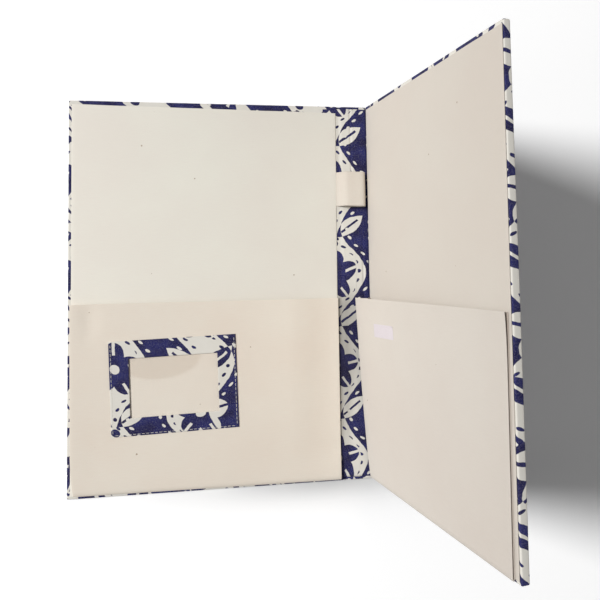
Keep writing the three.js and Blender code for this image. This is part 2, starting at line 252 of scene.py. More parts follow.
def creamClothMaterial(name, warm, cool, paintedLight=((0.0, 1.0), (1.0, 1.0))):
    # cotton book cloth, plain woven and sized: matt, with a faint thread and a few seed flecks;
    # the last argument gives two places in mm along the cloth and how light it is at each: painted light and shade
    # across each cover, for the soft shading that the photograph shows
    material, tree, shader = startMaterial(name, Roughness=0.9, **{"Sheen Weight": 0.12, "Sheen Roughness": 0.6,
                                                                  "Specular IOR Level": 0.25})
    plane = clothPlane(tree)
    clouds = addNode(tree, "TexNoise", None, {"Vector": plane, "Scale": 1 / creamCloth["cloud"], "Detail": 3.0})[0]
    stretched = addNode(tree, "VectorMath", "DIVIDE", {0: plane, 1: (*creamCloth["slub"], 1.0)})[0]
    slubs = addNode(tree, "TexNoise", None, {"Vector": stretched, "Scale": 1.0, "Detail": 2.0})[0]
    tone = addNode(tree, "Mix", {"data_type": "FLOAT"}, {"Factor": creamCloth["slubShare"], "A": clouds, "B": slubs})[0]
    tone = addNode(tree, "MapRange", None, {"Value": tone, "From Min": 0.35, "From Max": 0.65})[0]
    ground = addNode(tree, "Mix", rgba, {"Factor": tone, "A": warm, "B": cool})[2]
    weave = weaveHeight(tree, plane, creamCloth["spacing"])
    gaps = addNode(tree, "MapRange", None, {"Value": weave, "To Min": creamCloth["gaps"][1], "To Max": 0.0})[0]
    threads = addNode(tree, "Mix", {**rgba, "blend_type": "MULTIPLY"}, {
        "Factor": gaps, "A": ground, "B": creamCloth["gaps"][0]})[2]
    grain, wander = creamCloth["fleckRagged"]
    wobble = addNode(tree, "TexNoise", None, {"Vector": plane, "Scale": 1 / grain})[1]
    wobbled = addNode(tree, "VectorMath", "MULTIPLY_ADD", {0: wobble, 1: (wander,) * 3, 2: plane})[0]
    seeds = addNode(tree, "TexVoronoi", {"voronoi_dimensions": "2D"}, {
        "Vector": wobbled, "Scale": 1 / creamCloth["fleckCell"]})
    chosen = addNode(tree, "SeparateColor", None, {"Color": seeds["Color"]})[0]
    reach = addNode(tree, "MapRange", {"clamp": True}, {
        "Value": chosen, "From Min": creamCloth["fleckFrom"], "From Max": 1.0, "To Min": 0.0,
        "To Max": creamCloth["fleckSize"] / creamCloth["fleckCell"]})[0]
    fleck = addNode(tree, "Math", "LESS_THAN", {0: seeds["Distance"], 1: reach})[0]
    fleck = addNode(tree, "Math", "MULTIPLY", {0: fleck, 1: creamCloth["fleck"][1]})[0]
    flecked = addNode(tree, "Mix", rgba, {"Factor": fleck, "A": threads, "B": creamCloth["fleck"][0]})[2]
    along = addNode(tree, "SeparateXYZ", None, {"Vector": plane})[0]
    lightness = addNode(tree, "MapRange", None, {
        "Value": along, "From Min": paintedLight[0][0], "From Max": paintedLight[0][1],
        "To Min": paintedLight[1][0], "To Max": paintedLight[1][1]})[0]
    shaded = addNode(tree, "VectorMath", "SCALE", {0: flecked, "Scale": lightness})[0]
    # painted shade: the cloth darkens towards its fold colour where the attribute is set, in an open pocket's fold
    paintedShade = addNode(tree, "Attribute", {"attribute_name": "paintedShade"})["Fac"]  # none except in an open pocket's fold
    shaded = addNode(tree, "Mix", rgba, {"Factor": paintedShade, "A": shaded, "B": creamCloth["fold"]})[2]
    dressSurface(tree, shader, shaded, weave, creamCloth["relief"])
    return material


blockPrint = {
    "cell": (68.0, 78.0),  # mm, one repeat; every other column is dropped by half
    "petalAt": 11.6,  # blossom of round petals: their middles, from its own
    "petals": 5,
    "petalTurn": 0.3,  # of a sector, that the blossom is turned by
    "petalSquash": 0.8,
    "petal": 7.6,
    "slit": 1.1,  # half width
    "heart": 3.9,
    "leafAt": (14.0, 3.0),
    "leafTilt": np.radians(38.0),
    "leafReach": 15.5,
    "leaf": 6.2,  # half its width
    "vein": 0.95,
    "veinReach": 9.5,
    "bud": (3.7, 12.0),  # radius, and how far it hangs under the leaves
    "sway": 11.0,  # of the bands, to each side
    "dotLine": 5.2,  # from a band's edge
    "dot": 1.5,
    "dotStep": 7.4,
    "dotsFrom": 22.0,  # no dot nearer than this to a blossom's middle
    "bleed": 0.14,  # softness of the ink's edge
    "drawn": (41.667, 9.0),  # how broadly the drawing wanders, and how far
    "handCut": (4.54545, 1.2),  # the same for the cut edges of the block
}


def centred(result, source, size):  # steps that take a repeating place to the distance from its cell's middle
    return [(result, "FRACT", source), (result, "SUBTRACT", result, 0.5), (result, "MULTIPLY", result, size)]


def lengthOf(result, a, b):  # steps that give sqrt(a^2 + b^2)
    return [(result, "MULTIPLY", b, b), (result, "MULTIPLY_ADD", a, a, result), (result, "SQRT", result)]


def printFactor(tree, plane):
    # 1 where the block leaves ink. Distances in mm, below 0 inside a shape: MINIMUM joins, MAXIMUM cuts.
    cut = blockPrint
    drawn = plane
    for (width, wander), detail in ((cut["drawn"], 1.0), (cut["handCut"], 2.0)):
        noise = addNode(tree, "TexNoise", None, {"Vector": plane, "Scale": 1 / width, "Detail": detail})[1]
        drawn = addNode(tree, "VectorMath", "MULTIPLY_ADD", {
            0: noise, 1: (wander, wander, 0.0), 2: drawn})[0]
    place = addNode(tree, "SeparateXYZ", None, {0: drawn})
    width, height = cut["cell"]
    turn = 2 * np.pi
    steps = [
        # result, operation, then numbers or earlier results
        ("column", "DIVIDE", "x", width), ("row", "DIVIDE", "y", height),
        ("drop", "FLOOR", "column"), ("drop", "MULTIPLY", "drop", 0.5), ("drop", "FRACT", "drop"),
        ("level", "ADD", "row", "drop"),
        *centred("a", "column", width), *centred("b", "level", height),
        *lengthOf("radius", "b", "a"), ("angle", "ARCTAN2", "b", "a"),
        # the angle folded into a sector for each petal, then along and across a sector
        ("sector", "MULTIPLY_ADD", "angle", cut["petals"] / turn, cut["petalTurn"]),
        *centred("sector", "sector", turn / cut["petals"]),
        ("along", "COSINE", "sector"), ("along", "MULTIPLY", "along", "radius"),
        ("across", "SINE", "sector"), ("across", "MULTIPLY", "across", "radius"), ("across", "ABSOLUTE", "across"),
        # petal: sqrt((squash * (along - at))^2 + across^2) less than its size, with a slit to its tip
        ("out", "SUBTRACT", "along", cut["petalAt"]), ("out", "MULTIPLY", "out", cut["petalSquash"]),
        *lengthOf("petal", "across", "out"), ("petal", "SUBTRACT", "petal", cut["petal"]),
        ("slit", "SUBTRACT", "across", cut["slit"]), ("tip", "SUBTRACT", cut["petalAt"], "along"),
        ("slit", "MAXIMUM", "slit", "tip"), ("slit", "MULTIPLY", "slit", -1.0), ("petal", "MAXIMUM", "petal", "slit"),
        ("heart", "SUBTRACT", cut["heart"], "radius"), ("motif", "MAXIMUM", "petal", "heart"),
        # pair of leaves between the blossoms: across less than leaf * (1 - (along / reach)^2), with a vein
        ("b", "ADD", "level", 0.5), *centred("b", "b", height), ("a", "ABSOLUTE", "a"),
        ("da", "SUBTRACT", "a", cut["leafAt"][0]), ("db", "SUBTRACT", "b", cut["leafAt"][1]),
        ("along", "MULTIPLY", "da", np.cos(cut["leafTilt"])),
        ("along", "MULTIPLY_ADD", "db", np.sin(cut["leafTilt"]), "along"),
        ("across", "MULTIPLY", "da", -np.sin(cut["leafTilt"])),
        ("across", "MULTIPLY_ADD", "db", np.cos(cut["leafTilt"]), "across"), ("across", "ABSOLUTE", "across"),
        ("out", "DIVIDE", "along", cut["leafReach"]), ("out", "MULTIPLY", "out", "out"),
        ("leaf", "MULTIPLY_ADD", "out", cut["leaf"], -cut["leaf"]), ("leaf", "ADD", "leaf", "across"),
        ("vein", "SUBTRACT", "across", cut["vein"]), ("tip", "ABSOLUTE", "along"),
        ("tip", "SUBTRACT", "tip", cut["veinReach"]), ("vein", "MAXIMUM", "vein", "tip"),
        ("vein", "MULTIPLY", "vein", -1.0), ("leaf", "MAXIMUM", "leaf", "vein"), ("motif", "MINIMUM", "motif", "leaf"),
        ("db", "ADD", "b", cut["bud"][1]), *lengthOf("bud", "db", "a"),
        ("bud", "SUBTRACT", "bud", cut["bud"][0]), ("motif", "MINIMUM", "motif", "bud"),
        # swaying upright bands, half a cell wide
        ("sway", "MULTIPLY", "row", turn), ("sway", "COSINE", "sway"),
        ("sway", "MULTIPLY", "sway", cut["sway"] / width), ("off", "ADD", "column", "sway"),
        *centred("off", "off", width), ("off", "ABSOLUTE", "off"), ("band", "SUBTRACT", "off", width / 4),
        # dots beside the bands' edges
        ("line", "ABSOLUTE", "band"), ("line", "SUBTRACT", "line", cut["dotLine"]),
        ("step", "DIVIDE", "y", cut["dotStep"]), *centred("step", "step", cut["dotStep"]),
        *lengthOf("dot", "step", "line"), ("dot", "SUBTRACT", "dot", cut["dot"]),
        ("off", "SUBTRACT", cut["dotsFrom"], "radius"),
        ("dot", "MAXIMUM", "dot", "off"), ("motif", "MINIMUM", "motif", "dot"),
        # ink and bare cloth change places where a motif crosses a band
        ("both", "MAXIMUM", "motif", "band"), ("both", "MULTIPLY", "both", -1.0),
        ("either", "MINIMUM", "motif", "band"), ("bare", "MAXIMUM", "either", "both"),
    ]
    found = {"x": place[0], "y": place[1]}
    for result, operation, *inputs in steps:
        links = {i: found.get(given, given) for i, given in enumerate(inputs)}
        found[result] = addNode(tree, "Math", operation, links)[0]
    return addNode(tree, "MapRange", {"interpolation_type": "SMOOTHSTEP"}, {
        "Value": found["bare"], "From Min": -cut["bleed"], "From Max": cut["bleed"]})[0]


printInk = {  # sizes in mm
    "spacing": 0.5,  # between threads
    "cloud": 11.1111,  # width of the unevenness of ink and cloth
    "navy": ("#1a1740", "#282a60"),
    "cloth": ("#e0ddd6", "#d9d5cb"),
    "dry": 1.11111,  # width of the spots where the ink misses the thread tops
    "dryLeaves": 0.72,  # ink there
    # painted shade: the colour that the print darkens to beside the left pocket
    "gutter": "#17120c",  # in the gutter beside a pocket
    "relief": (0.08, 0.5),
}


def printedClothMaterial(name):
    # cotton, block printed with pigment ink: matt, with dry patches in the ink and soft hand-cut edges
    material, tree, shader = startMaterial(name, Roughness=0.9, **{"Sheen Weight": 0.03, "Sheen Roughness": 0.6,
                                                                  "Specular IOR Level": 0.15})
    plane = clothPlane(tree)
    inked = printFactor(tree, plane)
    weave = weaveHeight(tree, plane, printInk["spacing"])
    clouds = addNode(tree, "TexNoise", None, {"Vector": plane, "Scale": 1 / printInk["cloud"], "Detail": 4.0})[0]
    depth = addNode(tree, "MapRange", None, {"Value": clouds, "From Min": 0.35, "From Max": 0.65})[0]
    navy = addNode(tree, "Mix", rgba, {"Factor": depth, "A": printInk["navy"][0], "B": printInk["navy"][1]})[2]
    dry = addNode(tree, "TexNoise", None, {"Vector": plane, "Scale": 1 / printInk["dry"], "Detail": 3.0,
                                           "Roughness": 0.7})[0]
    dry = addNode(tree, "Math", "MULTIPLY", {0: dry, 1: weave})[0]
    worn = addNode(tree, "MapRange", None, {
        "Value": dry, "From Min": 0.42, "From Max": 0.66, "To Min": 1.0, "To Max": printInk["dryLeaves"]})[0]
    ground = addNode(tree, "Mix", rgba, {"Factor": clouds, "A": printInk["cloth"][0], "B": printInk["cloth"][1]})[2]
    inked = addNode(tree, "Math", "MULTIPLY", {0: inked, 1: worn})[0]
    colour = addNode(tree, "Mix", rgba, {"Factor": inked, "A": ground, "B": navy})[2]
    # painted shade: the print darkens towards a near black where the attribute is set, beside the left pocket
    paintedShade = addNode(tree, "Attribute", {"attribute_name": "paintedShade"})["Fac"]  # none except in the gutter
    colour = addNode(tree, "Mix", rgba, {"Factor": paintedShade, "A": colour, "B": printInk["gutter"]})[2]
    dressSurface(tree, shader, colour, weave, printInk["relief"])
    return material


def plainMaterial(name, grain, colours, relief, **surface):
    # grain is a texture node with its settings; it gives the relief, and the colour from the first to the second
    material, tree, shader = startMaterial(name, **surface)
    kind, settings, links = grain
    height = addNode(tree, kind, settings, {"Vector": addNode(tree, "TexCoord")["Object"], **links})[0]
    colour = addNode(tree, "Mix", rgba, {"Factor": height, "A": colours[0], "B": colours[1]})[2]
    dressSurface(tree, shader, colour, height, relief)
    return material


clearFilm = {
    # the second colour and the second opacity are a painted reflection, in a patch with a curved edge
    "colours": ("#fbf9f4", "#c8b8a6"),
    "cover": (0.05, 0.068),  # how opaque, clear and in the duller patch
    "paintedReflectionAt": (12.0, 23.6, 0.0),  # mm from the window's middle
    "paintedReflectionReach": (34.0, 18.0, 1.0),
    "paintedReflectionEdge": (0.93, 1.07),
    "scuff": 16.6667,  # mm across
    "gloss": (0.08, 0.24),
    "relief": (0.3, 0.15),
}


def filmMaterial():
    # calendered clear vinyl: nearly unseen, with a soft gloss, faint scuffs and a darker, more opaque patch with a
    # curved edge, a painted reflection that stands for the soft reflection that the photograph shows
    material, tree, shader = startMaterial("clear vinyl, calendered", IOR=1.53)
    patch = addNode(tree, "VectorMath", "SUBTRACT", {0: clothPlane(tree), 1: clearFilm["paintedReflectionAt"]})[0]
    patch = addNode(tree, "VectorMath", "DIVIDE", {0: patch, 1: clearFilm["paintedReflectionReach"]})[0]
    patch = addNode(tree, "VectorMath", "LENGTH", {0: patch})[1]
    patch = addNode(tree, "MapRange", {"interpolation_type": "SMOOTHSTEP"}, {
        "Value": patch, "From Min": clearFilm["paintedReflectionEdge"][0], "From Max": clearFilm["paintedReflectionEdge"][1],
        "To Min": 1.0, "To Max": 0.0})[0]
    body = addNode(tree, "Mix", rgba, {
        "Factor": patch, "A": clearFilm["colours"][0], "B": clearFilm["colours"][1]})[2]
    cover = addNode(tree, "MapRange", None, {
        "Value": patch, "To Min": clearFilm["cover"][0], "To Max": clearFilm["cover"][1]})[0]
    tree.links.new(cover, shader.inputs["Alpha"])
    place = addNode(tree, "TexCoord")["Object"]
    scuffs = addNode(tree, "TexNoise", None, {"Vector": place, "Scale": 1 / (clearFilm["scuff"] * mm),
                                              "Detail": 4.0})[0]
    gloss = addNode(tree, "MapRange", None, {
        "Value": scuffs, "To Min": clearFilm["gloss"][0], "To Max": clearFilm["gloss"][1]})[0]
    tree.links.new(gloss, shader.inputs["Roughness"])
    dressSurface(tree, shader, body, scuffs, clearFilm["relief"])
    return material


printed = printedClothMaterial("cotton, block printed")
liningCloth = {
    # left cover's cloth: painted light, darker at the hinge and lighter towards the outer edge
    "left": creamClothMaterial("cotton book cloth, sized and rolled", "#e8e2d8", "#ebe8dd",
                               ((0.0, 216.0), (0.92, 1.045))),
    # right cover's cloth: a darker, warmer copy of the left one, painted shade for the raised cover, with painted light
    # lighter at the hinge and darker towards the outer edge
    "right": creamClothMaterial("cotton book cloth, sized and rolled, painted shade", "#d0c7bd", "#d2cbc1",
                                ((0.0, 216.0), (1.085, 0.94))),
}
pocketCloth = {
    "left": creamClothMaterial("cotton pocket cloth, woven", "#e5d9cb", "#e8e0d3"),
    # right pocket's cloth: a darker, warmer copy of the left one, painted shade for the raised cover, with painted
    # light lighter on the spine side and darker towards the outer side
    "right": creamClothMaterial("cotton pocket cloth, woven, painted shade", "#cfc6bd", "#d3ccc3",
                                ((700.0, 910.0), (1.115, 0.925))),
}
loopCloth = creamClothMaterial("cotton tape, woven", "#d8cdc1", "#dbd4c9")
film = filmMaterial()
# pressed pulp board: dull grey with fibre specks about a millimetre long
greyboard = plainMaterial(
    "greyboard, pressed pulp", ("TexNoise", None, {"Scale": 1 / (1.11111 * mm), "Detail": 5.0, "Roughness": 0.8}),
    ("#6f6b64", "#aaa69e"), (0.2, 0.6), Roughness=0.95)
# spun cotton thread: pale, with its plies twisted every 0.6 mm
thread = plainMaterial(
    "cotton thread, twisted", ("TexWave", {"bands_direction": "DIAGONAL"}, {
        "Scale": bandRepeat / (0.6 * mm), "Distortion": 0.4}),
    ("#c9c4b9", "#efece4"), (0.1, 0.6), Roughness=0.8, **{"Sheen Weight": 0.2})
# coated paper sticker: smooth, faintly cool, with paper grain drawn coarse, at 1.4 mm, so that it shows
paper = plainMaterial(
    "coated paper, calendered", ("TexNoise", None, {"Scale": 1 / (1.42857 * mm), "Detail": 4.0}),
    ("#d5ccd1", "#dfd8dd"), (0.05, 0.4), Roughness=0.5)
print("materials made")

for board in ("left_board", "right_board", "spine_board"):
    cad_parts[board].data.materials.clear()
    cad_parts[board].data.materials.append(greyboard)


# outer cloth: one printed cloth over both boards and the spine, in two halves that meet under the spine
wrap = {
    "thickness": 0.3,
    "edgeRadius": 0.8,  # cloth over a board's edge
    "cornerRadius": 1.3,  # in plan
    "turnIn": (15.0, 12.0, 9.0, 6.0, 4.0, 2.4, 1.5),  # rows of the turned-in cloth, from its cut edge
    "outside": (2.0, 4.0, 8.0, 12.0, 16.0, 22.0, 30.0, 50.0, 75.0, 105.0, 135.0, 160.0),
    "pinch": 0.55,  # share of the height lost where there is no board in the hinge
    "pinchReach": (1.3, 2.8),
    "ripple": (0.07, 37.0),  # height and length, on the cover's inside
    "rippleAbove": 2.0,
    "slack": (0.55, 1.25),  # at the top and foot of the raised cover, off its board at the outer edge
    "slackFalls": 200.0,  # from the top
    "slackReach": (1.0, 28.0),  # from the outer edge
    "printAt": (9.0, 14.0),  # where the block print starts on this cloth
}
hingeStations = np.array([0, 2, 4, 6, 8, 9.2, 9.8, 10.2, *np.linspace(10.4, 15.1, 19), 15.5, 16, 17, 18.5, 20])


def coverPlan(inset):
    # path at this distance inside the edge: along the top to the corner, down the outer edge and back
    limit = folder["hingeX"] + folder["coverEnd"]
    middle = max(wrap["cornerRadius"], inset)
    radius = max(wrap["cornerRadius"] - inset, 0)
    run = np.concatenate([hingeStations, np.linspace(20, limit - middle, 22)[1:]])
    bend = np.linspace(0, np.pi / 2, 7)[1:-1]
    side = np.linspace(halfHeight - middle, middle - halfHeight, 40)
    top = np.stack([run, np.full(run.shape, halfHeight - inset)], -1)
    corner = np.stack([limit - middle + radius * np.sin(bend), halfHeight - middle + radius * np.cos(bend)], -1)
    outer = np.stack([np.full(side.shape, limit - inset), side], -1)
    return np.concatenate([top, corner, outer, (corner * [1, -1])[::-1], (top * [1, -1])[::-1]])


def coverProfile():
    # inset, height and unfolded length of each row, from the turned-in edge round to the middle outside
    radius, top = wrap["edgeRadius"], folder["turnInTop"]
    arc = np.linspace(np.pi / 2, 0, 6)
    turnIn = np.array([[d, top] for d in wrap["turnIn"]])
    upper = np.stack([radius - radius * np.cos(arc), top - radius + radius * np.sin(arc)], -1)
    lower = np.stack([radius - radius * np.cos(arc), radius - radius * np.sin(arc)], -1)[::-1]
    outside = np.array([[d, 0.0] for d in wrap["outside"]])
    rows = np.concatenate([turnIn, upper, lower, outside])
    steps = np.linalg.norm(np.diff(rows, axis=0), axis=1)
    length = np.concatenate([[0], np.cumsum(steps)])
    tangent = len(turnIn) + len(upper) + len(lower) - 1
    return rows, length[tangent] - length


def raisedCloth(x, z):
    # the cloth under the hinge follows an arc about its axis: flat, then round it, then straight up the cover
    reach, radius, angle = folder["boardStart"], folder["hingeZ"], folder["raised"]
    start = folder["hingeX"] - reach
    path = (x - start) / (2 * reach) * (2 * reach + radius * angle)
    bend = np.clip((path - reach) / radius, 0, angle)
    after = np.clip(path - reach - radius * angle, 0, None)
    before = np.minimum(path, reach)
    newX = start + before + (radius - z) * np.sin(bend) + after * np.cos(angle)
    newZ = radius - (radius - z) * np.cos(bend) + after * np.sin(angle)
    turnedX, turnedZ = turned(x, z, angle)
    beyond = x > folder["hingeX"] + reach
    return (np.where(x <= start, x, np.where(beyond, turnedX, newX)),
            np.where(x <= start, z, np.where(beyond, turnedZ, newZ)))


def coverCloth(side):
    rows, unfolded = coverProfile()
    plan = np.stack([coverPlan(inset) for inset in rows[:, 0]])
    flat = np.stack([coverPlan(wrap["edgeRadius"] - extra) for extra in unfolded])
    x, y = plan[..., 0], plan[..., 1]
    z = np.broadcast_to(rows[:, 1:], x.shape)
    z = z * (1 - wrap["pinch"] * bump(x - folder["hingeX"], *wrap["pinchReach"]))
    z = z + np.where(z > wrap["rippleAbove"], wrap["ripple"][0] * ripple(x, y, 1.3, wrap["ripple"][1]), 0)
    if side == "left":
        points = np.stack([-x, y, z], -1)
        uv = flat * [-1, 1]
    else:
        slack = between(wrap["slack"], smooth((halfHeight - y) / wrap["slackFalls"]))
        fromEdge = folder["hingeX"] + folder["coverEnd"] - x
        z = z - slack * bump(fromEdge, *wrap["slackReach"]) * (1 - z / folder["turnInTop"])
        newX, newZ = raisedCloth(x, z)
        points = np.stack([newX, y, newZ], -1)
        uv = flat
    piece = buildGrid(f"{side}_outer_cloth", points, uv + wrap["printAt"], printed)
    mergeClose(piece, 0.02)
    thicken(piece, wrap["thickness"], -1)
    return piece


def acrossHinge(piece):
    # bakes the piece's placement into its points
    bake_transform(piece)


for side, more in (("left", ["spine_cloth"]), ("right", [])):
    cloth = coverCloth(side)
    acrossHinge(cloth)
    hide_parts(f"{side}_cover_cloth", f"{side}_hinge_cloth", *more)
print("outer cloth made")


# spine lining: printed cloth from under one liner, down into both hinges, to under the other
lining = {
    "thickness": 0.3,
    "reach": 157.7,  # from the middle of the spine to its cut edges
    "overSpine": 4.7,
    "overCover": 4.36,
    "step": 1.5,  # from the one height to the other, to each side of a hinge
    "valley": {"left": 0.35, "right": 1.0},  # how far it dips into a hinge
    "valleyReach": (0.2, 2.8),
    "valleyRipple": (0.12, 90.0),
    "end": 27.0,
    "waver": 0.35,  # of its cut edges
    "crease": {  # one long crease on each half: place, lean, width, and middle and reach along the spine
        "left": {"at": 1.6, "lean": 0.01, "wide": (0.2, 1.5), "middle": 130.0, "long": (28.0, 50.0)},
        "right": {"at": 6.5, "lean": -0.008, "wide": (0.2, 1.6), "middle": 5.0, "long": (30.0, 60.0)},
    },
    "creaseDepth": 0.45,
    "ripple": (0.09, 46.0),
    "rippleReach": (8.0, 10.5),
    "lifts": (10.7, 4.2),  # where the right half begins to rise with its cover, and over how far
    "printAt": (49.0, 20.0),
}
# painted shade on the spine lining beside the left pocket, deepest under its mouth
gutter = {  # stands for the soft shade beside the left pocket in the photograph, less towards its foot
    "edge": -14.0,  # across the spine, where it is deepest
    "depth": (0.515, 0.2575),  # above and at the foot
    "width": (14.0, 4.2),
    "fadesFrom": -60.0,  # along the spine
    "fadesOver": 83.0,
    "mouth": (-14.0, 10.0),  # it ends between these, along the spine
}


def paintedGutterShade(x, y):  # depth * exp(-(distance / width)^2)
    down = np.clip((gutter["fadesFrom"] - y) / gutter["fadesOver"], 0, 1)
    away = np.clip(x - gutter["edge"], 0, None) / between(gutter["width"], down)
    below = 1 - smooth((y - gutter["mouth"][0]) / (gutter["mouth"][1] - gutter["mouth"][0]))
    return between(gutter["depth"], down) * np.exp(-away ** 2) * below


def spineLining(side):
    # height over x: a step at the hinge, less a dip along it and a crease; the right half turns up with its cover
    x, y = np.meshgrid(np.linspace(0, lining["end"], 90), np.linspace(-lining["reach"], lining["reach"], 180),
                       indexing="ij")
    y = y + lining["waver"] * np.sin(x / 6 + (0 if side == "left" else 2)) * np.abs(y / lining["reach"]) ** 20
    fromHinge = x - folder["hingeX"]
    z = between((lining["overSpine"], lining["overCover"]), smooth((fromHinge / lining["step"] + 1) / 2))
    dip = lining["valley"][side] + lining["valleyRipple"][0] * ripple(y, 0 * y, 0.4, lining["valleyRipple"][1])
    z = z - dip * bump(fromHinge, *lining["valleyReach"])
    crease = lining["crease"][side]
    creased = bump(x - crease["at"] - crease["lean"] * y, *crease["wide"]) * bump(y - crease["middle"], *crease["long"])
    z = z - lining["creaseDepth"] * creased - lining["thickness"] / 2
    z = z + lining["ripple"][0] * ripple(x, y, 0.6, lining["ripple"][1]) * bump(x, *lining["rippleReach"])
    if side == "left":
        points = np.stack([-x, y, z], -1)
        uv = np.stack([-x, y], -1)
    else:
        newX, newZ = turned(x, z, folder["raised"] * smooth((x - lining["lifts"][0]) / lining["lifts"][1]))
        points = np.stack([newX, y, newZ], -1)
        uv = np.stack([x, y], -1)
    piece = buildGrid(f"{side}_spine_lining", points, uv + lining["printAt"], printed)
    shadeWith(piece, paintedGutterShade(-x if side == "left" else x, y))
    thicken(piece, lining["thickness"], 0)
    return piece


for side, more in (("left", ["spine_lining"]), ("right", [])):
    cloth = spineLining(side)
    acrossHinge(cloth)
    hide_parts(f"{side}_hinge_lining", *more)
print("spine lining made")


# liners: cream cloth on paper, pasted inside each cover a little out of square;
# margins run from the foot to the top, and from the hinge to the outer edge
liners = {
    "left": {"hinge": (2.8, 0.8), "outer": (2.6, 2.6), "top": (5.9, 3.3), "foot": 2.4, "phase": 0.9},
    "right": {"hinge": (3.8, 2.4), "outer": (1.4, 0.7), "top": (2.9, 3.0), "foot": 2.4, "phase": 2.1},
}
linerPaste = {"waver": (0.12, 60.0), "settle": (0.05, 55.0)}  # at the cut edges, and over the board


def coverLiner(side):
    size = liners[side]
    thickness = folder["linerTop"] - folder["linerBase"]
    start, end = folder["boardStart"], folder["coverEnd"]
    wide, tall = end - start, folder["height"]

    def place(a, b, h):
        s, t = a / wide, b / tall
        u = between((start + between(size["hinge"], t), end - between(size["outer"], t)), s)
        y = between((-halfHeight + size["foot"], halfHeight - between(size["top"], s)), t)
        waver, length = linerPaste["waver"]
        y = y + waver * ripple(a, b, size["phase"], length) * np.abs(2 * t - 1) ** 9
        settle = linerPaste["settle"][0] * ripple(u, y, size["phase"], linerPaste["settle"][1])
        return onCover(side, u, y, folder["linerBase"] + h + settle * (h > thickness / 2))

    piece = buildSheet(f"{side}_cover_liner", (0, wide), (0, tall), thickness, place, liningCloth[side], (70, 90))
    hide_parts(f"{side}_liner")
    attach(piece, f"{side}_cover")


for side in ("left", "right"):
    coverLiner(side)
print("liners made")


# pockets: a front sewn down at its foot, standing off the liner on two gussets
# outer is the margin at the foot and the mouth; lift is the mouth's height off the liner, at the spine and outside;
# drop and sag lower the mouth's outer end; footRise and footTuck draw the foot's outer end up and in
# the right pocket's open outer fold also gets painted shade, deeper towards the mouth
pockets = {
    "left": {"hingeInset": 1.4, "outer": (3.2, 2.7), "drop": 0.0, "lift": (5.2, 5.2), "belly": 0.5,
             "footRise": 1.2, "footTuck": 2.4, "sag": 0.4, "pressed": 0.85, "flare": 0.0, "paintedShade": 0.0,
             "clothAt": (300, 500, 1200)},
    "right": {"hingeInset": 2.4, "outer": (5.0, 3.0), "drop": 2.7, "lift": (12.7, 1.5), "belly": 0.72,
              "footRise": 0.0, "footTuck": 0.0, "sag": 0.0, "pressed": 0.0, "flare": 1.4, "paintedShade": 0.38,
              "clothAt": (700, 500, 1200)},  # where on the cloth the front and the two gussets are cut
}
pocketCut = {"width": 210.0, "height": 152.5, "foot": 1.2, "footLift": 1.5, "thickness": 0.5,
             "gusset": 9.0, "gussetInset": 0.35, "gussetEnds": (0.5, 0.4), "gussetGap": 0.05, "cloth": 0.3}
pocketSlack = {  # what the cloth does under its own weight; a share is of the pocket's width or height
    "tuckOver": 0.2,  # share of the height
    "pressedOver": 0.2,  # share of the width
    "flareOver": 0.2,  # share of the width
    "sagAt": (0.89, 0.07),  # where across the width it begins, and over how much
    "foldOver": 1.6,  # mm, round the turned-down foot
    "foldDepth": 0.85,  # share of the lift at the foot
    "dent": {"depth": 1.2, "at": (209.0, -19.0), "reach": (9.0, 15.0)},  # at the left mouth's outer corner
    "ripple": {"left": (0.3, 0.3, 150.0), "right": (0.25, 1.1, 120.0)},  # height, phase and length
    "sunk": {"left": 0.2, "right": 0.0},
    "rim": 20.0,  # mm from the sewn edges, over which the dents begin
}
pocketFoot = -halfHeight + pocketCut["foot"]


def pocketEdges(side, t):  # distances of a pocket's two edges from the hinge axis, t from 0 at the foot to 1
    size = pockets[side]
    outer = between(size["outer"], t) + size["footTuck"] * np.clip(1 - t / pocketSlack["tuckOver"], 0, 1) ** 2
    return folder["boardStart"] + size["hingeInset"] + 0 * t, folder["coverEnd"] - outer


def pocketLift(side, s, t):  # least at the foot, most at the mouth: foot + (mouth - foot) * t^belly
    size = pockets[side]
    t = np.clip(t, 0, 1)
    lift = between((pocketCut["footLift"], between(size["lift"], s)), t ** size["belly"])
    # pressed flatter along the spine, and the mouth's outer corner stands open
    lift = lift * (1 - size["pressed"] * (1 - smooth(s / pocketSlack["pressedOver"])) * smooth(t * 5))
    return lift + size["flare"] * smooth(1 - (1 - s) / pocketSlack["flareOver"]) * t ** 12


def dents(side, u, y):  # soft hollows and rises that the photograph shows: a ripple, and one round dent
    height, phase, length = pocketSlack["ripple"][side]
    uneven = height * ripple(u, y, phase, length) - pocketSlack["sunk"][side]
    dent = pocketSlack["dent"]
    away = ((u - dent["at"][0]) / dent["reach"][0]) ** 2 + ((y - dent["at"][1]) / dent["reach"][1]) ** 2
    return uneven - dent["depth"] * np.exp(-away) * (side == "left")


def pocketSurface(side, u, y, h):  # a point on a pocket's front, h above its lower face
    t = (y - pocketFoot) / pocketCut["height"]
    low, high = pocketEdges(side, t)
    s = (u - low) / (high - low)
    rim = np.clip(np.minimum(u - low, high - u) / pocketSlack["rim"], 0, 1) * np.clip(t * 6, 0, 1)
    lift = pocketLift(side, s, t) + dents(side, u, y) * smooth(rim)
    return onCover(side, u, y, folder["linerTop"] + lift + h)


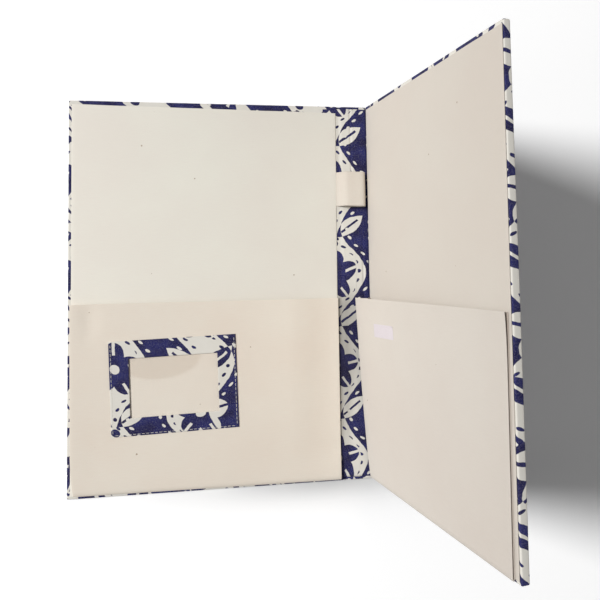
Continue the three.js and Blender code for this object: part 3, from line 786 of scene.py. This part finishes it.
def pocketFront(side):
    size = pockets[side]

    def place(a, b, h):  # a across and b up, in mm of the cut cloth; its foot turns down on an arc
        t = b / pocketCut["height"]
        s = a / pocketCut["width"]
        u = between(pocketEdges(side, t), s)
        y = pocketFoot + b - size["drop"] * s * t + size["footRise"] * s * (1 - t) ** 3
        y = y - size["sag"] * smooth((s - pocketSlack["sagAt"][0]) / pocketSlack["sagAt"][1]) * t ** 4
        fold = 1 - np.clip(b / pocketSlack["foldOver"], 0, 1)
        turnDown = pocketSlack["foldDepth"] * pocketLift(side, s, 0 * t) * (1 - np.sqrt(1 - fold ** 2))
        down = onCover(side, u, y, 0 * u) - onCover(side, u, y, 0 * u + 1)
        return pocketSurface(side, u, y, h) + down * turnDown[..., None]

    piece = buildSheet(f"{side}_pocket_panel", (0, pocketCut["width"]), (0, pocketCut["height"]),
                       pocketCut["thickness"], place, pocketCloth[side], (90, 80), (size["clothAt"][0], 0))
    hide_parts(f"{side}_pocket_front", f"{side}_pocket_foot_fold")
    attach(piece, f"{side}_cover")


def pocketGusset(side, edge):
    # a strip folded once into the pocket: depth * sin^0.85 across, rising from the liner to the front
    t, q = np.meshgrid(np.linspace(0.004, 1, 60) ** 1.6, np.linspace(0, 1, 25), indexing="ij")
    size = pockets[side]
    outer = edge == "outer"
    low, high = pocketEdges(side, t)
    u = high - pocketCut["gussetInset"] if outer else low + pocketCut["gussetInset"]
    fromFoot, fromMouth = pocketCut["gussetEnds"]
    y = pocketFoot + between((fromFoot, pocketCut["height"] - fromMouth), t)
    y = y + (size["footRise"] * (1 - t) ** 3 - size["drop"] * t - size["sag"] * t ** 4) * outer
    lift = pocketLift(side, 1.0 * outer, t)
    clear = pocketCut["gussetGap"] + pocketCut["cloth"] / 2
    z = folder["linerTop"] + clear + (lift - 2 * clear) * (q + 0.06 * np.sin(2 * np.pi * q))
    depth = pocketCut["gusset"] * (0.97 + 0.03 * np.sin(9 * t)) * np.sin(np.pi * q) ** 0.85
    u = u + (-depth if outer else depth)
    piece = buildGrid(f"{side}_pocket_{edge}_fold", onCover(side, u, y, z),
                      np.stack([depth * np.sign(q - 0.5) + size["clothAt"][1 + outer], y], -1), pocketCloth[side])
    # painted shade: the brown shade in the open corner, deeper towards the mouth
    shadeWith(piece, size["paintedShade"] * outer * between((0.4, 1.0), smooth((t - 0.6) / 0.4)))
    thicken(piece, pocketCut["cloth"], 0)
    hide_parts(f"{side}_pocket_{edge}_gusset")
    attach(piece, f"{side}_cover")


for side in ("left", "right"):
    pocketFront(side)
    pocketGusset(side, "outer")
    pocketGusset(side, "spine")
print("pockets made")


# card frame: a printed band round a clear window, sewn to the left pocket on three sides
card = {
    "middle": (140.05, -73.1),  # from the hinge axis, and along the spine
    "tilt": np.radians(-1.8),
    "outer": (100.5, 76.0),
    "window": (70.0, 47.3),
    "thickness": 0.5,
    "filmThickness": 0.15,
    "filmOverlap": 2.0,
    "filmBow": (0.3, 64.0, 0.25, 17.0),  # height and length of its ripple, and of one long wave
    "filmHeld": 8.0,  # mm along its edges
    "filmRise": (0.1, 0.18, 0.5),  # at its edges, in its middle, and what the bow adds
    "clearance": 0.35,  # above the pocket's front
    "innerRise": 0.5,  # of the unsewn inner edge
    "rim": 0.016,  # share of the band's width that a rounded edge takes
    "ripple": (0.08, 40.0),
    "printAt": (212.0, 96.0),
    "stitchInset": 1.4,
    "stitch": 2.9,  # mm long
    "stitchGap": 0.5,
    "threadRadius": 0.18,
    "stitchRise": (0.9, 0.1, 0.22),  # above the front, its arch, and how far its ends sink
    "stitchFlat": 0.8,  # its height as a share of its width
}


def onCard(a, b, h):  # a and b from the frame's middle, h above the pocket's front
    c, s = np.cos(card["tilt"]), np.sin(card["tilt"])
    u = card["middle"][0] + a * c - b * s
    y = card["middle"][1] + a * s + b * c
    return pocketSurface("left", u, y, pocketCut["thickness"] + h)


def cardBand():
    # cross-section with rounded edges, carried round the window with mitred corners
    count = 18
    unit = np.array([[-0.5, 0.5], [-0.5, -0.5], [0.5, -0.5], [0.5, 0.5], [-0.5, 0.5]])
    path = np.concatenate([unit[i] + (unit[i + 1] - unit[i]) * np.linspace(0, 1, count, endpoint=False)[:, None]
                           for i in range(4)] + [unit[4:]])
    radius = card["thickness"] / 2
    widths = np.linspace(0, 1, 12)
    end = np.linspace(-np.pi / 2, np.pi / 2, 7)[1:-1]
    rim = card["rim"] * np.cos(end)
    across = np.concatenate([widths, 1 + rim, widths[::-1], -rim, widths[:1]])
    height = np.concatenate([0 * widths, radius + radius * np.sin(end), 0 * widths + 2 * radius,
                             radius - radius * np.sin(end), [0]])
    outer, inner = np.array(card["outer"]) / 2 - radius, np.array(card["window"]) / 2 + radius
    place = path[:, None, :] * 2 * (outer + (inner - outer) * across[:, None])
    lift = card["clearance"] + height[None, :] + card["innerRise"] * np.clip(across, 0, 1) ** 2
    lift = lift + card["ripple"][0] * ripple(place[..., 0], place[..., 1], 0.8, card["ripple"][1])
    points = onCard(place[..., 0], place[..., 1], lift)
    piece = buildGrid("printed_card_frame", points, place * [-1, 1] + card["printAt"], printed, True, True)
    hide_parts("card_frame")
    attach(piece, "left_cover")


def cardFilm():
    wide, tall = [size / 2 + card["filmOverlap"] for size in card["window"]]

    def place(a, b, h):  # a shallow bow, held flat under the frame
        inside = bump(a, wide - card["filmHeld"], wide) * bump(b, tall - card["filmHeld"], tall)
        height, length, waveHeight, wave = card["filmBow"]
        bow = height * ripple(a, b, 2.2, length) + waveHeight * np.sin((a + 0.9 * b) / wave)
        edge, middle, bowed = card["filmRise"]
        return onCard(a, b, edge + h + (middle + bowed * bow) * inside)

    piece = buildSheet("card_window_sheet", (-wide, wide), (-tall, tall), card["filmThickness"], place, film, (60, 44))
    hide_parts("card_window_film")
    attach(piece, "left_cover")


def cardStitches():
    # one low loop of thread for each stitch: an arc in section, sunk at both ends
    wide, tall = [size / 2 - card["stitchInset"] for size in card["outer"]]
    pitch = card["stitch"] + card["stitchGap"]
    runs = [((-wide, tall), (-wide, -tall)), ((-wide, -tall), (wide, -tall)), ((wide, -tall), (wide, tall))]
    starts, ways = [], []
    for (x0, y0), (x1, y1) in runs:
        length = np.hypot(x1 - x0, y1 - y0)
        count = int(length // pitch)
        way = np.array([x1 - x0, y1 - y0]) / length
        first = (length - count * pitch + card["stitchGap"]) / 2
        starts.append(np.array([x0, y0]) + way * (first + pitch * np.arange(count))[:, None])
        ways.append(np.broadcast_to(way, (count, 2)))
    starts, ways = np.concatenate(starts), np.concatenate(ways)
    q = np.linspace(0, 1, 7)[None, :, None]
    turn = np.linspace(0, 2 * np.pi, 7)[None, None, :]
    girth = card["threadRadius"] * np.sqrt(np.clip(1 - (2 * q - 1) ** 4, 0.02, 1))
    along = card["stitch"] * q
    sideways = girth * np.cos(turn)
    rise, arch, sunk = card["stitchRise"]
    height = rise + arch * np.sin(np.pi * q) - sunk * (2 * q - 1) ** 6 + girth * np.sin(turn) * card["stitchFlat"]
    base, way = starts[:, None, None, :], ways[:, None, None, :]
    normal = np.stack([-way[..., 1], way[..., 0]], -1)
    place = base + way * along[..., None] + normal * sideways[..., None]
    height = np.broadcast_to(height, place.shape[:3])
    points = onCard(place[..., 0], place[..., 1], height)
    numbers = np.arange(points[..., 0].size).reshape(points.shape[:3])
    numbers[:, :, -1] = numbers[:, :, 0]
    faces = np.concatenate([quadsOf(one) for one in numbers])
    ends = np.concatenate([numbers[:, 0, [0, 1, 2, 3]], numbers[:, 0, [0, 3, 4, 5]],
                           numbers[:, -1, [3, 2, 1, 0]], numbers[:, -1, [5, 4, 3, 0]]])
    faces = np.concatenate([faces, ends])
    piece = buildMesh("card_frame_stitches", points, faces, np.zeros((len(faces), 4, 2)), thread)
    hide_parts("card_frame_stitching")
    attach(piece, "left_cover")


cardBand()
cardFilm()
cardStitches()
print("card frame made")


# pen loop: one strap from under the left liner, up, over and back under itself
penLoop = {
    "middle": 87.0,
    "length": 29.6,
    "thickness": 0.5,
    "puff": 0.12,  # swell of the middle of its width
    "ripple": (0.05, 26.0),
    "skew": 0.25,  # how far it wanders sideways
    "clothAt": 900,
    # x and z of the strap's path over the hinge and spine
    "path": [(-27, 4.55), (-22, 4.55), (-17.5, 4.55), (-16.2, 4.65), (-14.4, 5.7), (-12.4, 8.2), (-10.2, 10.7),
             (-8.0, 11.95), (-5, 12.25), (0, 12.25), (4.4, 12.2), (6.8, 11.4), (7.95, 9.8), (8.0, 7.8), (6.9, 6.1),
             (4.6, 5.3), (0, 5.25), (-5, 5.25), (-7.9, 5.35), (-9.3, 6.2)],
}


def smoothPath(points, count):  # Catmull-Rom curve through the points, at even distances
    p = np.array(points, float)
    p = np.concatenate([2 * p[:1] - p[1:2], p, 2 * p[-1:] - p[-2:-1]])
    t = np.linspace(0, 1, 12, endpoint=False)[:, None]
    a, b, c, d = p[:-3, None], p[1:-2, None], p[2:-1, None], p[3:, None]
    curve = 0.5 * (2 * b + (c - a) * t + (2 * a - 5 * b + 4 * c - d) * t ** 2 + (3 * b - a - 3 * c + d) * t ** 3)
    curve = np.concatenate([curve.reshape(-1, 2), p[-2:-1]])
    length = np.concatenate([[0], np.cumsum(np.linalg.norm(np.diff(curve, axis=0), axis=1))])
    even = np.linspace(0, length[-1], count)
    return np.stack([np.interp(even, length, curve[:, i]) for i in (0, 1)], -1), even


def penStrap():
    # the path carried along the spine, each point moved out along the path's normal by a slight puff
    path, distance = smoothPath(penLoop["path"], 120)
    half = penLoop["length"] / 2
    y, _ = np.meshgrid(np.linspace(-half, half, 24), distance, indexing="ij")
    slope = np.gradient(path, axis=0)
    slope /= np.linalg.norm(slope, axis=1)[:, None]
    outward = np.stack([-slope[:, 1], slope[:, 0]], -1)
    puff = penLoop["puff"] * (np.cos(y / half * np.pi / 2) - 0.5)
    puff = puff + penLoop["ripple"][0] * ripple(y, distance[None, :], 0.5, penLoop["ripple"][1])
    x = path[:, 0] + outward[:, 0] * puff
    z = path[:, 1] + outward[:, 1] * puff
    points = np.stack([x, y + penLoop["middle"] + penLoop["skew"] * np.sin(distance / 9)[None, :], z], -1)
    uv = np.stack([distance[None, :] + 0 * y + penLoop["clothAt"], y], -1)
    piece = buildGrid("pen_loop_strap", points, uv, loopCloth)
    thicken(piece, penLoop["thickness"], 0)
    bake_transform(piece)
    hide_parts("pen_loop", "pen_loop_tab")


penStrap()
print("pen loop made")


# plain sticker on the right pocket
sticker = {"size": (34.0, 10.5), "low": (39.95, -37.0), "thickness": 0.15, "clearance": 0.03,
           "curl": 0.5, "curlFrom": 1.75}  # one corner has begun to lift, past this share of both sides together


def stickerPlace(a, b, h):
    u, y = sticker["low"][0] + a, sticker["low"][1] + b
    along = a / sticker["size"][0] + b / sticker["size"][1]
    curl = sticker["curl"] * np.clip((along - sticker["curlFrom"]) / (2 - sticker["curlFrom"]), 0, 1) ** 2
    return pocketSurface("right", u, y, pocketCut["thickness"] + sticker["clearance"] + h + curl)


label = buildSheet("blank_sticker", (0, sticker["size"][0]), (0, sticker["size"][1]), sticker["thickness"],
                   stickerPlace, paper, (30, 16))
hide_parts("blank_label")
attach(label, "right_cover")
print("sticker made")


# floor, light and camera, in metres
stage = {
    "half": 8.0,  # of the floor's width
    "below": 0.0003,  # under the folder
    "own": "#dcdad6",  # its colour to the light
    "seen": 1.19,  # brightness to the camera
    # painted shadow on the floor under the folder's lower edge
    "paintedShadowAt": (-0.025, -0.16, 0.0),  # stands for the soft grey patch under the lower edge in the photograph
    "paintedShadowReach": (0.14, 0.021, 1.0),
    "paintedShadow": 0.46,
    "sky": 0.16,  # strength of the light from all round
}


def seenRay(tree):  # 1 for what the camera sees, straight on, in gloss or through glass
    ray = addNode(tree, "LightPath")
    seen = addNode(tree, "Math", "MAXIMUM", {0: ray["Is Camera Ray"], 1: ray["Is Glossy Ray"]})[0]
    return addNode(tree, "Math", "MAXIMUM", {0: seen, 1: ray["Is Transmission Ray"]})[0]


def stageMaterial():
    # painted board, seen a little brighter than it lights the folder, so that it is white past the shadows
    material, tree, shader = startMaterial("painted board, pale", Roughness=0.9, **{"Specular IOR Level": 0.1})
    # painted shadow under the folder's lower edge: depth / (1 + (distance / reach)^2)^2 in the patch
    place = addNode(tree, "TexCoord")["Object"]
    patch = addNode(tree, "VectorMath", "SUBTRACT", {0: place, 1: stage["paintedShadowAt"]})[0]
    patch = addNode(tree, "VectorMath", "DIVIDE", {0: patch, 1: stage["paintedShadowReach"]})[0]
    patch = addNode(tree, "VectorMath", "DOT_PRODUCT", {0: patch, 1: patch})[1]
    patch = addNode(tree, "Math", "ADD", {0: patch, 1: 1.0})[0]
    patch = addNode(tree, "Math", "POWER", {0: patch, 1: -2.0})[0]
    paintedShadow = addNode(tree, "Math", "MULTIPLY", {0: patch, 1: stage["paintedShadow"]})[0]
    white = addNode(tree, "Mix", rgba, {"Factor": paintedShadow, "A": (*[stage["seen"]] * 3, 1.0), "B": (0.0, 0.0, 0.0, 1.0)})[2]
    colour = addNode(tree, "Mix", rgba, {"Factor": seenRay(tree), "A": stage["own"], "B": white})[2]
    tree.links.new(colour, shader.inputs["Base Color"])
    return material


floorMesh = bpy.data.meshes.new("floor")
floorMesh.from_pydata([(x * stage["half"], y * stage["half"], -stage["below"])
                       for x, y in ((-1, -1), (1, -1), (1, 1), (-1, 1))], [], [(0, 1, 2, 3)])
floorMesh.materials.append(stageMaterial())
floor = bpy.data.objects.new("floor", floorMesh)
bpy.context.scene.collection.objects.link(floor)

lamps = {
    "window": {"at": (-4.1, 1.2, 4.6), "towards": (0.0, 0.0, 0.05), "size": (1.75, 0.8), "watts": 364.0},
    "side": {"at": (1.7, -0.5, 0.08), "towards": (0.05, 0.0, 0.1), "size": (0.3, 0.3), "watts": 3.0},
    "fill": {"at": (-0.55, -0.05, 0.35), "towards": (-0.2, 0.0, 0.0), "size": (0.2, 0.2), "watts": 0.17},
}
for name, lamp in lamps.items():
    light = bpy.data.lights.new(name, "AREA")
    light.shape, light.energy = "ELLIPSE", lamp["watts"]
    light.size, light.size_y = lamp["size"]
    holder = bpy.data.objects.new(name, light)
    holder.location = lamp["at"]
    holder.rotation_euler = (Vector(lamp["towards"]) - Vector(lamp["at"])).to_track_quat("-Z", "Y").to_euler()
    bpy.context.scene.collection.objects.link(holder)

world = bpy.data.worlds.new("studio")
bpy.context.scene.world = world
world.use_nodes = True
sky = world.node_tree
strength = addNode(sky, "MapRange", None, {"Value": seenRay(sky), "To Min": stage["sky"], "To Max": 1.0})[0]
sky.nodes["Background"].inputs["Color"].default_value = (1, 1, 1, 1)
sky.links.new(strength, sky.nodes["Background"].inputs["Strength"])

view = {
    "at": (-0.11294, 0.01361, 0.5907),
    "angles": np.radians([3.5959, -10.0702, -1.0907]),
    "pixels": 600,  # width and height of the photograph
    "focal": 689.58,  # in its pixels
    "middle": (346.28, 233.42),  # pixel that the camera faces
    "sensor": 36,
}
camera = bpy.data.objects.new("camera", bpy.data.cameras.new("camera"))
camera.location = view["at"]
camera.rotation_euler = view["angles"]
camera.data.lens = view["sensor"] * view["focal"] / view["pixels"]
camera.data.sensor_width = view["sensor"]
camera.data.shift_x = 0.5 - view["middle"][0] / view["pixels"]
camera.data.shift_y = view["middle"][1] / view["pixels"] - 0.5
camera.data.clip_start = 0.01
bpy.context.scene.collection.objects.link(camera)
bpy.context.scene.camera = camera
bpy.context.scene.view_settings.view_transform = "Standard"
print("floor, light and camera made")
